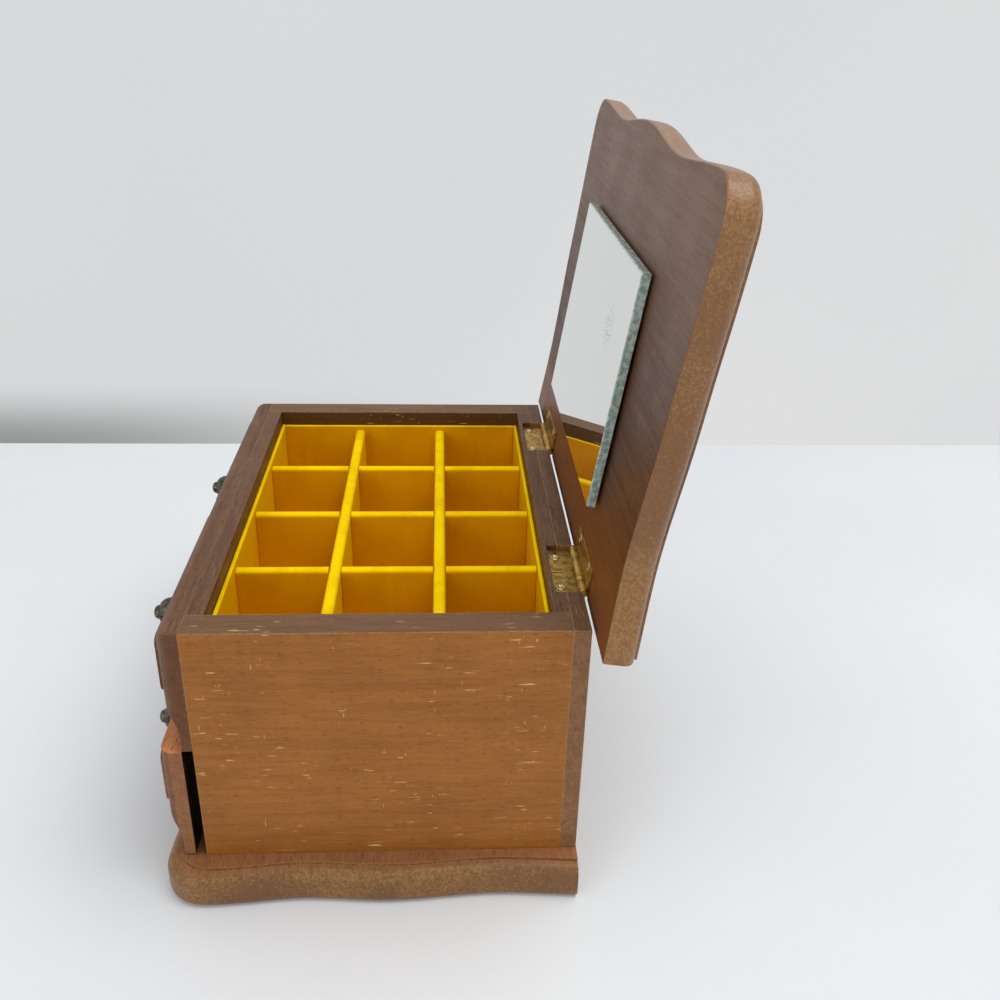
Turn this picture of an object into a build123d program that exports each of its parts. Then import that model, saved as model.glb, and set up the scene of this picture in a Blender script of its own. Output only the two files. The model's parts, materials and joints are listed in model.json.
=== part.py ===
from build123d import *
import os
from math import atan2, cos, degrees, radians, sin

# Wooden vanity box: a hinged lid with a mirror, a velvet tray of twelve compartments,
# a false upper drawer front, one real drawer and a moulded plinth.
#
# Sizes are in millimetres. The origin is the centre of the plinth's underside, +Z is up,
# the drawer front faces -Y and the lid is hinged along the back, +Y. The lid stands open
# and the drawer is a few millimetres open.
os.makedirs("parts", exist_ok=True)

# ---------------------------------------------------------------- driving sizes
# Carcass
carcass_width = 250.0
carcass_depth = 163.0
carcass_height = 116.0
side_thickness = 13.8
back_thickness = 7.2
back_rail_thickness = 6.7
back_rail_height = 22.0
front_rail_thickness = 7.4
shelf_thickness = 4.0
shelf_groove = 4.0
joint_gap = 0.1

# Plinth and lid: the waves are (distance from the back edge, drop inside the widest line)
base_thickness = 18.0
base_side_overhang = 13.4
base_front_overhang = 18.4
base_back_lip = 0.2
base_corner_radius = 18.0
base_waves = ((0.0, 0.9), (38.0, 3.0), (86.0, 0.3), (119.0, 2.6))
lid_thickness = 14.5
lid_side_overhang = 18.6
lid_front_overhang = 17.9
lid_corner_radius = 16.0
lid_waves = ((0.0, 1.4), (40.0, 7.2), (88.0, 3.2), (114.0, 2.2))
front_valley = 59.0
front_valley_depth = 3.6
front_crest_rise = 1.5
edge_radius = 5.2
base_under_radius = 4.0
lid_under_radius = 0.8
quirk_inset = 5.6
quirk_step = 1.5

# Shaped fronts, raised panels and knobs
board_thickness = 9.6
board_foot_thickness = 4.5
board_sweep = 25.0
board_sweep_middle = 5.2
board_top_round = 4.8
board_end_round = 6.0
upper_front_height = 58.0
front_gap = 0.8
drawer_floor_gap = 1.0
panel_thickness = 2.4
panel_height = 27.2
panel_end_inset = 8.6
panel_centre_gap = 14.0
panel_corner_radius = 4.0
panel_edge_radius = 0.4
panel_drop = 7.6
knob_drop = 28.0
knob_offset = 65.0
rosette_radius = 8.3
rosette_thickness = 2.2
knob_neck_radius = 4.5
knob_neck_length = 1.3
knob_head_radius = 7.9
knob_head_height = 8.0
knob_button_radius = 3.1
knob_reach = 14.6
knob_screw_radius = 1.5
knob_screw_depth = 8.0
knob_screw_head_radius = 3.0
knob_screw_head_height = 1.8
screw_clearance = 0.1

# Drawer box
drawer_open = 4.7
drawer_side_thickness = 6.0
drawer_side_height = 50.0
drawer_bottom_thickness = 3.0
drawer_bottom_rise = 4.0
drawer_groove = 2.5
drawer_clearance = 0.7
drawer_floor_clearance = 0.3
drawer_back_clearance = 3.0
drawer_lining_thickness = 1.5

# Velvet tray
tray_drop = 8.0
divider_drop = 10.8
tray_depth = 48.0
lining_thickness = 2.0
lining_round = 0.8
tray_floor_thickness = 2.0
long_divider_thickness = 5.6
cross_divider_thickness = 5.2
divider_round = 2.0
lap_clearance = 0.15
long_divider_count = 2
cross_divider_count = 3

# Hinges
lid_angle = 98.7
hinge_inset = 50.0
hinge_length = 40.0
middle_knuckle_length = 20.0
knuckle_gap = 0.3
leaf_thickness = 0.9
leaf_width = 12.0
barrel_radius = 1.75
barrel_relief = 0.35
barrel_back = 0.5
pin_radius = 0.8
pin_clearance = 0.05
mortise_clearance = 0.4
lid_seat_gap = 0.25
lid_back_reach = 2.0
screw_reach = 9.1
screw_spacing = 26.0
screw_radius = 1.1
screw_head_radius = 2.4
screw_head_dome = 0.35
screw_length = 9.0
slit_length = 4.6
slit_width = 0.8

# Mirror
mirror_width = 152.4
mirror_height = 101.6
mirror_thickness = 3.8
mirror_arris = 0.5
mirror_rise = 34.2
pad_thickness = 1.5
pad_length = 30.0
pad_width = 18.0
pad_inset = 12.0

# ---------------------------------------------------------------- worked-out places
half_width = carcass_width / 2
inner_half = half_width - side_thickness
base_depth = base_front_overhang + carcass_depth + base_back_lip
back_plane = base_depth / 2 - base_back_lip
front_plane = back_plane - carcass_depth
inner_back = back_plane - back_thickness
rail_back = inner_back - back_rail_thickness
rail_front = front_plane + front_rail_thickness
rim_level = base_thickness + carcass_height
shelf_level = rim_level - tray_depth - tray_floor_thickness - shelf_thickness

barrel_level = rim_level + lid_seat_gap - barrel_radius
barrel_line = back_plane + barrel_back
seat_level = barrel_level - barrel_radius
hinge_middles = (-half_width + hinge_inset, half_width - hinge_inset)
lid_reach = barrel_line - front_plane + lid_front_overhang
lid_depth = lid_reach + lid_back_reach

base_plane = Plane(origin=(0, base_depth / 2, 0), x_dir=(-1, 0, 0), z_dir=(0, 0, 1))
lid_normal = (0, -sin(radians(lid_angle)), -cos(radians(lid_angle)))
lid_plane = Plane(origin=(0, barrel_line, barrel_level), x_dir=(1, 0, 0), z_dir=lid_normal)
lid_back_edge = Plane(lid_plane.location * Location((0, -lid_back_reach, 0)))
box_leaf_plane = Plane(
    origin=(0, barrel_line, barrel_level), x_dir=(-1, 0, 0), z_dir=(0, 0, 1)
)


def write(piece, name):
    """Labels a finished piece and writes its STEP file."""
    piece.part.label = name
    export_step(piece.part, f"parts/{name}.step")


def block(low, high, mode=Mode.ADD):
    """A box in the open part, given by its lowest and highest corners."""
    size = [b - a for a, b in zip(low, high)]
    with Locations(low):
        Box(*size, align=(Align.MIN, Align.MIN, Align.MIN), mode=mode)


# ---------------------------------------------------------------- moulded plates
def plate_outline(half, depth, waves, corner, inset):
    """Outline of the plinth and of the lid. The back edge is straight on y = 0, the sides
    follow the waves and the front edge has two valleys and a crest in the middle. The
    inset moves the sides and the front inwards and leaves the back edge where it is."""
    wide = half - inset
    front = depth - inset
    radius = corner - inset / 2
    side_points = [(wide - drop, distance) for distance, drop in waves]
    start_slope = (side_points[1][0] - side_points[0][0], side_points[1][1])
    with BuildSketch() as outline:
        with BuildLine():
            side = Spline(
                *side_points, (wide, front - radius), tangents=(start_slope, (0, 1))
            )
            bend = CenterArc((wide - radius, front - radius), radius, 0, 90)
            crest = Spline(
                (wide - radius, front),
                (front_valley, front - front_valley_depth),
                (0, front + front_crest_rise),
                tangents=((-1, 0), (-1, 0)),
            )
            mirror(side, about=Plane.YZ)
            mirror(bend, about=Plane.YZ)
            mirror(crest, about=Plane.YZ)
            Line((-side_points[0][0], 0), side_points[0])
        make_face()
    return outline.sketch


def shaped_edges(face, plane):
    """The edges of a plate's face apart from its straight back edge."""
    return [e for e in face.edges() if plane.to_local_coords(e.center()).Y > edge_radius / 2]


def moulded_plate(plane, thickness, outlines, under_radius):
    """A plank whose sides and front are rounded over and stepped up to a raised field.
    It grows from the plane along its normal, and its back edge is on the plane's x axis."""
    along = Axis(plane.origin, plane.z_dir)
    edge_outline, field_outline = outlines
    with BuildPart() as plank:
        with BuildSketch(plane):
            add(edge_outline)
        extrude(amount=thickness - quirk_step)
        fillet(shaped_edges(plank.faces().sort_by(along)[-1], plane), edge_radius)
        fillet(shaped_edges(plank.faces().sort_by(along)[0], plane), under_radius)
        with BuildSketch(plane.offset(thickness - quirk_step)):
            add(field_outline)
        extrude(amount=quirk_step)
    return plank


base_outlines = [
    plate_outline(
        half_width + base_side_overhang, base_depth, base_waves, base_corner_radius, inset
    )
    for inset in (0, quirk_inset)
]
base_plate = moulded_plate(base_plane, base_thickness, base_outlines, base_under_radius)
write(base_plate, "base_plate")

# ---------------------------------------------------------------- carcass
for side, name in ((-1, "left_side_board"), (1, "right_side_board")):
    ends = sorted((side * half_width, side * inner_half))
    with BuildPart() as side_board:
        block((ends[0], front_plane, base_thickness), (ends[1], inner_back, rim_level))
        groove = sorted((side * inner_half, side * (inner_half + shelf_groove)))
        block(
            (groove[0], rail_front, shelf_level),
            (groove[1], inner_back, shelf_level + shelf_thickness),
            mode=Mode.SUBTRACT,
        )
    write(side_board, name)


def cut_mortises():
    """Cuts both hinge mortises out of the open part: a seat for the leaf, with room for
    the barrel at the back."""
    for middle in hinge_middles:
        low_x = middle - hinge_length / 2 - mortise_clearance
        high_x = middle + hinge_length / 2 + mortise_clearance
        seat_front = barrel_line - leaf_width - mortise_clearance
        groove_front = barrel_line - barrel_radius - barrel_relief
        past_back = back_plane + barrel_radius
        above = rim_level + barrel_radius
        block((low_x, seat_front, seat_level), (high_x, past_back, above), Mode.SUBTRACT)
        groove_floor = seat_level - barrel_relief
        block((low_x, groove_front, groove_floor), (high_x, past_back, above), Mode.SUBTRACT)


with BuildPart() as back_board:
    block((-half_width, inner_back, base_thickness), (half_width, back_plane, rim_level))
    cut_mortises()
write(back_board, "back_board")

screw_places = [
    middle + step
    for middle in hinge_middles
    for step in (-screw_spacing / 2, screw_spacing / 2)
]
pilot_radius = screw_radius + screw_clearance / 2
with BuildPart() as back_rail:
    block(
        (-inner_half + joint_gap, rail_back, rim_level - back_rail_height),
        (inner_half - joint_gap, inner_back, rim_level),
    )
    cut_mortises()
    with Locations(*[(x, barrel_line - screw_reach, seat_level) for x in screw_places]):
        Hole(radius=pilot_radius, depth=screw_length)
write(back_rail, "back_rail")

with BuildPart() as tray_shelf:
    block(
        (-inner_half - shelf_groove + joint_gap, rail_front, shelf_level),
        (inner_half + shelf_groove - joint_gap, inner_back, shelf_level + shelf_thickness),
    )
write(tray_shelf, "tray_shelf")

# ---------------------------------------------------------------- shaped fronts
knob_level = rim_level - knob_drop
drawer_top = rim_level - upper_front_height - front_gap
drawer_front_height = drawer_top - base_thickness - drawer_floor_gap
drawer_knob_level = drawer_top - knob_drop
drawer_plane = front_plane - drawer_open
knob_screw_hole = knob_screw_radius + screw_clearance


def facing_front(x, y, z):
    """A plane that looks out of the front of the box, with x to the right and y up."""
    return Plane(origin=(x, y, z), x_dir=(1, 0, 0), z_dir=(0, -1, 0))


def shaped_front(back, top, height, top_round, level):
    """A drawer front: thick at the panels, swept back to a thin foot, rounded at the ends
    and drilled for two knob screws. Its back is at y = back."""
    bottom = top - height
    with BuildPart() as front:
        with BuildSketch(Plane(origin=(-half_width, back, 0), x_dir=(0, 1, 0), z_dir=(1, 0, 0))):
            with BuildLine():
                Polyline(
                    (-board_foot_thickness, bottom),
                    (0, bottom),
                    (0, top),
                    (top_round - board_thickness, top),
                )
                if top_round:
                    arc_centre = (top_round - board_thickness, top - top_round)
                    CenterArc(arc_centre, top_round, 90, 90)
                Line((-board_thickness, top - top_round), (-board_thickness, bottom + board_sweep))
                Spline(
                    (-board_thickness, bottom + board_sweep),
                    (-board_sweep_middle, bottom + board_sweep / 2),
                    (-board_foot_thickness, bottom),
                    tangents=((0, -1), (0, -1)),
                )
            make_face()
        extrude(amount=carcass_width)
        with BuildSketch(Plane.XY.offset(bottom)) as plan:
            with Locations((0, back - board_thickness)):
                Rectangle(carcass_width, board_thickness, align=(Align.CENTER, Align.MIN))
            fillet(plan.vertices().group_by(Axis.Y)[0], board_end_round)
        extrude(amount=height, mode=Mode.INTERSECT)
        with Locations(facing_front(0, back - board_thickness, level)):
            with Locations((-knob_offset, 0), (knob_offset, 0)):
                Hole(radius=knob_screw_hole)
    return front


upper_front = shaped_front(
    front_plane, rim_level, upper_front_height, board_top_round, knob_level
)
write(upper_front, "upper_front")
drawer_front = shaped_front(
    drawer_plane, drawer_top, drawer_front_height, 0, drawer_knob_level
)
write(drawer_front, "drawer_front")

with BuildPart() as front_rail:
    block(
        (-inner_half + joint_gap, front_plane, rim_level - upper_front_height),
        (inner_half - joint_gap, rail_front, rim_level),
    )
    with Locations(Plane(origin=(0, rail_front, knob_level), x_dir=(1, 0, 0), z_dir=(0, 1, 0))):
        with Locations((-knob_offset, 0), (knob_offset, 0)):
            CounterBoreHole(
                radius=knob_screw_hole,
                counter_bore_radius=knob_screw_head_radius + screw_clearance,
                counter_bore_depth=knob_screw_head_height + screw_clearance,
            )
write(front_rail, "front_rail")

# ---------------------------------------------------------------- panels and knobs
panel_length = half_width - panel_end_inset - panel_centre_gap / 2
panel_middle = (panel_centre_gap + panel_length) / 2


def raised_panel(side, face, top, level):
    """A thin panel glued on a front's face, drilled for its knob's screw."""
    with BuildPart() as panel:
        with BuildSketch(facing_front(side * panel_middle, face, top - panel_height / 2)):
            RectangleRounded(panel_length, panel_height, panel_corner_radius)
        extrude(amount=panel_thickness)
        fillet(panel.faces().sort_by(Axis.Y)[0].edges(), panel_edge_radius)
        with Locations(facing_front(side * knob_offset, face - panel_thickness, level)):
            Hole(radius=knob_screw_hole)
    return panel


def turning(x, seat, level):
    """The half-plane in which a knob is turned: x is the radius, and y is the distance
    into the wood from the knob's seat."""
    return Plane(origin=(x, seat, level), x_dir=(1, 0, 0), z_dir=(0, 0, 1))


def rosette_disc(x, seat, level):
    """The dished disc between a panel and its knob."""
    with BuildPart() as disc:
        with BuildSketch(turning(x, seat, level)):
            with BuildLine():
                Polyline(
                    (knob_screw_hole, 0),
                    (rosette_radius, 0),
                    (rosette_radius, -rosette_thickness / 2),
                    (rosette_radius - rosette_thickness / 2, -rosette_thickness),
                    (knob_screw_hole, -rosette_thickness),
                    close=True,
                )
            make_face()
        revolve(axis=Axis((x, seat, level), (0, 1, 0)))
    return disc


def turned_knob(x, seat, level):
    """A knob on its disc: a short neck, a domed head and a small button at the middle,
    with a blind hole for the screw."""
    neck_end = rosette_thickness + knob_neck_length
    head_rim = neck_end + knob_head_height / 4
    head_top = neck_end + knob_head_height
    bore_end = rosette_thickness + knob_screw_depth
    with BuildPart() as knob:
        with BuildSketch(turning(x, seat, level)):
            with BuildLine():
                Polyline(
                    (0, -rosette_thickness),
                    (knob_neck_radius, -rosette_thickness),
                    (knob_neck_radius, -neck_end),
                    (knob_head_radius * 0.94, -neck_end),
                    (knob_head_radius, -head_rim),
                )
                Spline(
                    (knob_head_radius, -head_rim),
                    (knob_head_radius * 0.9, -(head_rim + head_top) / 2),
                    (knob_button_radius * 1.25, -head_top),
                    tangents=((0, -1), (-1, -0.1)),
                )
                Line((knob_button_radius * 1.25, -head_top), (knob_button_radius, -head_top))
                Spline(
                    (knob_button_radius, -head_top),
                    (knob_button_radius * 0.8, -(head_top + 2 * knob_reach) / 3),
                    (0, -knob_reach),
                    tangents=((0, -1), (-1, 0)),
                )
                Line((0, -knob_reach), (0, -rosette_thickness))
            make_face()
        revolve(axis=Axis((x, seat, level), (0, 1, 0)))
        with BuildSketch(facing_front(x, seat - rosette_thickness, level)):
            Circle(knob_screw_radius)
        extrude(amount=bore_end - rosette_thickness, mode=Mode.SUBTRACT)
    return knob


def knob_screws(head_seat, seat, level):
    """Both knobs' screws in one node: pan heads that bear on y = head_seat, with shanks
    that end in the knobs."""
    tip = seat - rosette_thickness - knob_screw_depth + screw_clearance
    with BuildPart() as screws:
        for x in (-knob_offset, knob_offset):
            with BuildSketch(facing_front(x, head_seat, level)):
                Circle(knob_screw_radius - screw_clearance / 2)
            extrude(amount=head_seat - tip)
            with BuildSketch(facing_front(x, head_seat, level)):
                Circle(knob_screw_head_radius)
            extrude(amount=-knob_screw_head_height)
        heads = screws.faces().sort_by(Axis.Y)[-2:].edges()
        fillet(heads, knob_screw_head_height / 3)
    return screws


for row, back, top, level, head_seat in (
    (
        "upper",
        front_plane,
        rim_level,
        knob_level,
        rail_front - knob_screw_head_height - screw_clearance,
    ),
    ("drawer", drawer_plane, drawer_top, drawer_knob_level, drawer_plane),
):
    face = back - board_thickness
    seat = face - panel_thickness
    for side, hand in ((-1, "left"), (1, "right")):
        write(raised_panel(side, face, top - panel_drop, level), f"{row}_{hand}_panel")
        write(rosette_disc(side * knob_offset, seat, level), f"{row}_{hand}_rosette")
        write(turned_knob(side * knob_offset, seat, level), f"{row}_{hand}_knob")
    write(knob_screws(head_seat, seat, level), f"{row}_knob_screws")

# ---------------------------------------------------------------- drawer box
drawer_half = inner_half - drawer_clearance
drawer_inner = drawer_half - drawer_side_thickness
drawer_floor = base_thickness + drawer_floor_clearance
drawer_length = inner_back - front_plane - drawer_back_clearance
drawer_end = drawer_plane + drawer_length
drawer_side_top = drawer_floor + drawer_side_height
panel_floor = drawer_floor + drawer_bottom_rise
panel_top = panel_floor + drawer_bottom_thickness

for side, name in ((-1, "drawer_left_side"), (1, "drawer_right_side")):
    ends = sorted((side * drawer_half, side * drawer_inner))
    groove = sorted((side * drawer_inner, side * (drawer_inner + drawer_groove)))
    with BuildPart() as drawer_side:
        block((ends[0], drawer_plane, drawer_floor), (ends[1], drawer_end, drawer_side_top))
        block(
            (groove[0], drawer_plane, panel_floor),
            (groove[1], drawer_end, panel_top),
            mode=Mode.SUBTRACT,
        )
    write(drawer_side, name)

with BuildPart() as drawer_back:
    block(
        (-drawer_inner + joint_gap, drawer_end - drawer_side_thickness, panel_top + joint_gap),
        (drawer_inner - joint_gap, drawer_end, drawer_side_top),
    )
write(drawer_back, "drawer_back")

with BuildPart() as drawer_bottom:
    block(
        (-drawer_inner - drawer_groove + joint_gap, drawer_plane, panel_floor),
        (drawer_inner + drawer_groove - joint_gap, drawer_end, panel_top),
    )
write(drawer_bottom, "drawer_bottom")

with BuildPart() as drawer_lining:
    block(
        (-drawer_inner + joint_gap, drawer_plane + joint_gap, panel_top),
        (
            drawer_inner - joint_gap,
            drawer_end - drawer_side_thickness - joint_gap,
            panel_top + drawer_lining_thickness,
        ),
    )
write(drawer_lining, "drawer_lining")

# ---------------------------------------------------------------- velvet tray
tray_half = inner_half - joint_gap
tray_front = rail_front + joint_gap
tray_back = rail_back - joint_gap
tray_top = rim_level - tray_drop
tray_floor_top = rim_level - tray_depth
divider_top = rim_level - divider_drop
cell_left = -tray_half + lining_thickness
cell_front = tray_front + lining_thickness
cell_back = tray_back - lining_thickness

with BuildPart() as tray_floor:
    block(
        (-tray_half, tray_front, tray_floor_top - tray_floor_thickness),
        (tray_half, tray_back, tray_floor_top),
    )
write(tray_floor, "tray_floor")

for name, low, high, length_axis in (
    ("tray_front_lining", (-tray_half, tray_front), (tray_half, cell_front), Axis.X),
    ("tray_back_lining", (-tray_half, cell_back), (tray_half, tray_back), Axis.X),
    (
        "tray_left_lining",
        (-tray_half, cell_front + joint_gap),
        (cell_left, cell_back - joint_gap),
        Axis.Y,
    ),
    (
        "tray_right_lining",
        (-cell_left, cell_front + joint_gap),
        (tray_half, cell_back - joint_gap),
        Axis.Y,
    ),
):
    with BuildPart() as lining:
        block((*low, tray_floor_top), (*high, tray_top))
        fillet(lining.faces().sort_by(Axis.Z)[-1].edges().filter_by(length_axis), lining_round)
    write(lining, name)


def divider_middles(start, end, thickness, count):
    """The centre lines of dividers that share out the room between start and end."""
    cell = (end - start - count * thickness) / (count + 1)
    return [start + i * (cell + thickness) - thickness / 2 for i in range(1, count + 1)]


long_middles = divider_middles(
    cell_front, cell_back, long_divider_thickness, long_divider_count
)
cross_middles = divider_middles(
    cell_left, -cell_left, cross_divider_thickness, cross_divider_count
)
lap_level = (tray_floor_top + divider_top) / 2
long_half = long_divider_thickness / 2
cross_half = cross_divider_thickness / 2

for number, middle in enumerate(long_middles, 1):
    with BuildPart() as divider:
        block(
            (cell_left + joint_gap, middle - long_half, tray_floor_top),
            (-cell_left - joint_gap, middle + long_half, divider_top),
        )
        fillet(divider.faces().sort_by(Axis.Z)[-1].edges().filter_by(Axis.X), divider_round)
        for crossing in cross_middles:
            reach = cross_half + lap_clearance
            block(
                (crossing - reach, middle - long_half, tray_floor_top),
                (crossing + reach, middle + long_half, lap_level + lap_clearance),
                mode=Mode.SUBTRACT,
            )
    write(divider, f"long_divider_{number}")

for number, middle in enumerate(cross_middles, 1):
    with BuildPart() as divider:
        block(
            (middle - cross_half, cell_front + joint_gap, tray_floor_top),
            (middle + cross_half, cell_back - joint_gap, divider_top),
        )
        fillet(divider.faces().sort_by(Axis.Z)[-1].edges().filter_by(Axis.Y), divider_round)
        for crossing in long_middles:
            reach = long_half + lap_clearance
            block(
                (middle - cross_half, crossing - reach, lap_level - lap_clearance),
                (middle + cross_half, crossing + reach, divider_top),
                mode=Mode.SUBTRACT,
            )
    write(divider, f"cross_divider_{number}")

# ---------------------------------------------------------------- lid and mirror
lid_outlines = [
    plate_outline(
        half_width + lid_side_overhang, lid_depth, lid_waves, lid_corner_radius, inset
    )
    for inset in (0, quirk_inset)
]
lid_face = lid_plane.offset(-barrel_radius)
lid_back_line = lid_back_edge.offset(-barrel_radius)
lid_growth = Plane(
    origin=lid_back_line.origin, x_dir=-lid_back_line.x_dir, z_dir=-lid_back_line.z_dir
)
lid_plank = moulded_plate(lid_growth, lid_thickness, lid_outlines, lid_under_radius)
with BuildPart() as lid_panel:
    add(lid_plank.part)
    for middle in hinge_middles:
        with BuildSketch(lid_face):
            with Locations((middle, -lid_back_reach)):
                Rectangle(
                    hinge_length + 2 * mortise_clearance,
                    lid_back_reach + barrel_radius + barrel_relief,
                    align=(Align.CENTER, Align.MIN),
                )
        extrude(amount=-barrel_relief, mode=Mode.SUBTRACT)
    with Locations(lid_face):
        with Locations(*[(x, screw_reach) for x in screw_places]):
            Hole(radius=pilot_radius, depth=screw_length)
write(lid_panel, "lid_panel")

mirror_middle = mirror_rise - lid_back_reach + mirror_height / 2
lid_outwards = Axis(lid_plane.origin, lid_plane.z_dir)
with BuildPart() as mirror_glass:
    with BuildSketch(lid_face.offset(pad_thickness)):
        with Locations((0, mirror_middle)):
            Rectangle(mirror_width, mirror_height)
    extrude(amount=mirror_thickness)
    chamfer(mirror_glass.faces().sort_by(lid_outwards)[-1].edges(), mirror_arris)
write(mirror_glass, "mirror_glass")

with BuildPart() as mirror_pads:
    with BuildSketch(lid_face):
        with Locations((0, mirror_middle)):
            with GridLocations(
                mirror_width - 2 * pad_inset - pad_length,
                mirror_height - 2 * pad_inset - pad_width,
                2,
                2,
            ):
                Rectangle(pad_length, pad_width)
    extrude(amount=pad_thickness)
write(mirror_pads, "mirror_pads")

# ---------------------------------------------------------------- hinges
leaf_edge = barrel_radius + knuckle_gap
knuckle_inner = middle_knuckle_length / 2 + knuckle_gap / 2
knuckle_outer = hinge_length / 2
box_knuckles = ((-knuckle_outer, -knuckle_inner), (knuckle_inner, knuckle_outer))
lid_knuckles = ((knuckle_gap / 2 - middle_knuckle_length / 2, knuckle_inner - knuckle_gap),)
sink_angle = 2 * degrees(atan2(screw_head_radius - screw_radius, leaf_thickness))
screw_steps = ((-screw_spacing / 2, screw_reach), (screw_spacing / 2, screw_reach))


def moved_plane(plane, x):
    """The same plane with its origin moved along its own x axis."""
    return Plane(plane.location * Location((x, 0, 0)))


def hinge_leaf(plane, knuckles, slit):
    """One leaf of a butt hinge with its knuckles and two countersunk holes. On the plane,
    x runs along the pin, y away from it, and z from the wood to the open face."""
    with BuildPart() as leaf:
        with BuildSketch(plane.offset(-barrel_radius)):
            with Locations((0, leaf_edge)):
                Rectangle(
                    hinge_length, leaf_width - leaf_edge, align=(Align.CENTER, Align.MIN)
                )
            if slit:
                with Locations((0, screw_reach)):
                    SlotOverall(slit_length, slit_width, rotation=90, mode=Mode.SUBTRACT)
        extrude(amount=leaf_thickness)
        for start, end in knuckles:
            across = Plane(
                origin=moved_plane(plane, start).origin, x_dir=plane.y_dir, z_dir=plane.x_dir
            )
            with BuildSketch(across):
                Circle(barrel_radius)
                with Locations((0, -barrel_radius)):
                    Rectangle(leaf_edge, leaf_thickness, align=(Align.MIN, Align.MIN))
                Circle(pin_radius + pin_clearance, mode=Mode.SUBTRACT)
            extrude(amount=end - start)
        with Locations(plane.offset(leaf_thickness - barrel_radius)):
            with Locations(*screw_steps):
                CounterSinkHole(
                    radius=pilot_radius,
                    counter_sink_radius=screw_head_radius + screw_clearance / 2,
                    counter_sink_angle=sink_angle,
                )
    return leaf


def leaf_screws(plane, middles):
    """The countersunk screws of both hinges' leaves on one side, as one node."""
    with BuildPart() as screws:
        for middle in middles:
            for x, y in screw_steps:
                top = plane.offset(leaf_thickness - barrel_radius).from_local_coords(
                    (middle + x, y, 0)
                )
                with BuildSketch(Plane(origin=top, x_dir=plane.x_dir, z_dir=-plane.y_dir)):
                    with BuildLine():
                        Polyline(
                            (0, screw_head_dome),
                            (0, -leaf_thickness - screw_length + screw_radius),
                            (screw_radius, -leaf_thickness - screw_length + 2 * screw_radius),
                            (screw_radius, -leaf_thickness),
                            (screw_head_radius, 0),
                            (screw_head_radius / 2, screw_head_dome),
                            close=True,
                        )
                    make_face()
                revolve(axis=Axis(top, plane.z_dir))
    return screws


for side, hand in ((-1, "left"), (1, "right")):
    middle = side * (half_width - hinge_inset)
    write(
        hinge_leaf(moved_plane(box_leaf_plane, -middle), box_knuckles, True),
        f"{hand}_hinge_box_leaf",
    )
    write(
        hinge_leaf(moved_plane(lid_plane, middle), lid_knuckles, False),
        f"{hand}_hinge_lid_leaf",
    )
    with BuildPart() as hinge_pin:
        pin_start = Plane(
            origin=(middle - hinge_length / 2, barrel_line, barrel_level),
            x_dir=(0, 1, 0),
            z_dir=(1, 0, 0),
        )
        with BuildSketch(pin_start):
            Circle(pin_radius)
        extrude(amount=hinge_length)
        chamfer(hinge_pin.edges().filter_by(GeomType.CIRCLE), pin_radius / 4)
    write(hinge_pin, f"{hand}_hinge_pin")

write(leaf_screws(box_leaf_plane, hinge_middles), "box_leaf_screws")
write(leaf_screws(lid_plane, hinge_middles), "lid_leaf_screws")
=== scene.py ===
# %% [markdown]
# # A vanity box with a mirror
#
# The box stands on a moulded plinth. Its lid is open on two brass hinges and carries a
# mirror, and a tray of yellow velvet fills the top. The solid parts come from the frame,
# in metres, with the origin under the middle of the plinth, +Z up and the front on -Y.
# What is made here is the finish of each part, the turned knobs, the screw heads, the
# studio and the camera.

# %% Load the frame
import json
from math import cos, pi, radians, sin

import bmesh
import bpy
from mathutils import Matrix, Vector


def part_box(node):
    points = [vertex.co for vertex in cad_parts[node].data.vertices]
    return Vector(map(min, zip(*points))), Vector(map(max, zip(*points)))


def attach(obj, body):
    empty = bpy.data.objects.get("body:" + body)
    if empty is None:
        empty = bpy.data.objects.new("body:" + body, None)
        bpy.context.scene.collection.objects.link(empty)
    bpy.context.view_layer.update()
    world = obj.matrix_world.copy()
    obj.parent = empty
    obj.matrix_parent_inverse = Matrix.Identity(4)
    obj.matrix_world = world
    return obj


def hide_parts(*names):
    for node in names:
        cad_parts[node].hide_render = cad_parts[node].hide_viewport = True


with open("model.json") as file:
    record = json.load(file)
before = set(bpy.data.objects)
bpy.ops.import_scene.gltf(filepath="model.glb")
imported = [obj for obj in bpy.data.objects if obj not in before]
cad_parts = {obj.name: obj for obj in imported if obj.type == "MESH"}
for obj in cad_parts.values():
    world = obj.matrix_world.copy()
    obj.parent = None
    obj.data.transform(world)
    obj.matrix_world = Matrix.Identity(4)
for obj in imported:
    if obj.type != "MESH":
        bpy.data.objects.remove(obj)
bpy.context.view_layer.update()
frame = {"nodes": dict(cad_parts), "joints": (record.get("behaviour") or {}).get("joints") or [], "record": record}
nodes = frame["nodes"]
slots = {part["node"]: part["material_slot"] for part in frame["record"]["subparts"]}
print(len(nodes), "nodes in", len(set(slots.values())), "finishes")

# %% [markdown]
# ## Writing a finish as an expression
#
# A finish is a graph of nodes. It could be wired by hand in the shader editor, but then the
# sum it works out is hard to read. Here a small class stands for a socket, and Python's own
# operators add the Math nodes, so that a mask reads as `1 - worn * 0.5`.

# %% Sockets as values
class Value:
    """One output of a node. Sums on it add Math nodes to the finish it belongs to."""

    def __init__(self, finish, socket):
        self.finish = finish
        self.socket = socket

    def maths(self, operation, first, second):
        return self.finish.node("Math", {"operation": operation}, {0: first, 1: second})

    def __add__(self, other):
        return self.maths("ADD", self, other)

    def __sub__(self, other):
        return self.maths("SUBTRACT", self, other)

    def __rsub__(self, other):
        return self.maths("SUBTRACT", other, self)

    def __mul__(self, other):
        return self.maths("MULTIPLY", self, other)

    def __abs__(self):
        return self.maths("ABSOLUTE", self, 0.0)

    def at_most(self, other):
        return self.maths("MINIMUM", self, other)

    __radd__ = __add__
    __rmul__ = __mul__


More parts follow.
